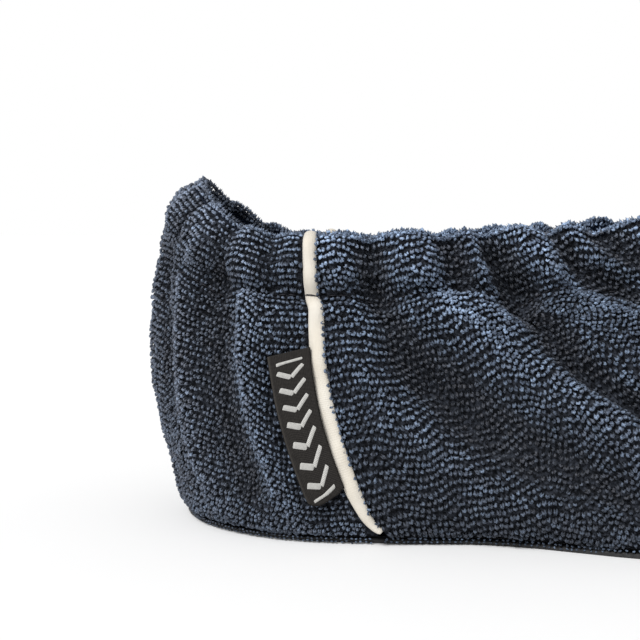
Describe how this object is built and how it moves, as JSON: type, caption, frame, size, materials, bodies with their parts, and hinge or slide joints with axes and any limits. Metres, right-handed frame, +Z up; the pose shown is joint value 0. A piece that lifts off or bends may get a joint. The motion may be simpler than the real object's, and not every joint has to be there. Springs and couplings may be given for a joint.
{
  "type": "anti-slip shoe grip cover",
  "caption": "Stretch terry-knit overshoe cover with a gathered elastic hem, side piping, a folded side label and a thin rubberised anti-slip sole.",
  "frame": {"origin": "on the floor under the middle of the cover's outer box", "axes": "+X from the heel to the toe, +Y to the left side, +Z up through the opening; the right side faces -Y"},
  "size_m": [0.2904, 0.1143, 0.0906],
  "materials": {
    "knit": "matte navy terry loops",
    "piping": "matte off-white woven piping",
    "label": "matte black twill",
    "sole": "matte black rubberised cloth"
  },
  "bodies": {
    "root": {"heel_panel": "knit", "front_panel": "knit", "piping_right": "piping", "piping_left": "piping", "label": "label", "sole": "sole"}
  },
  "joints": []
}
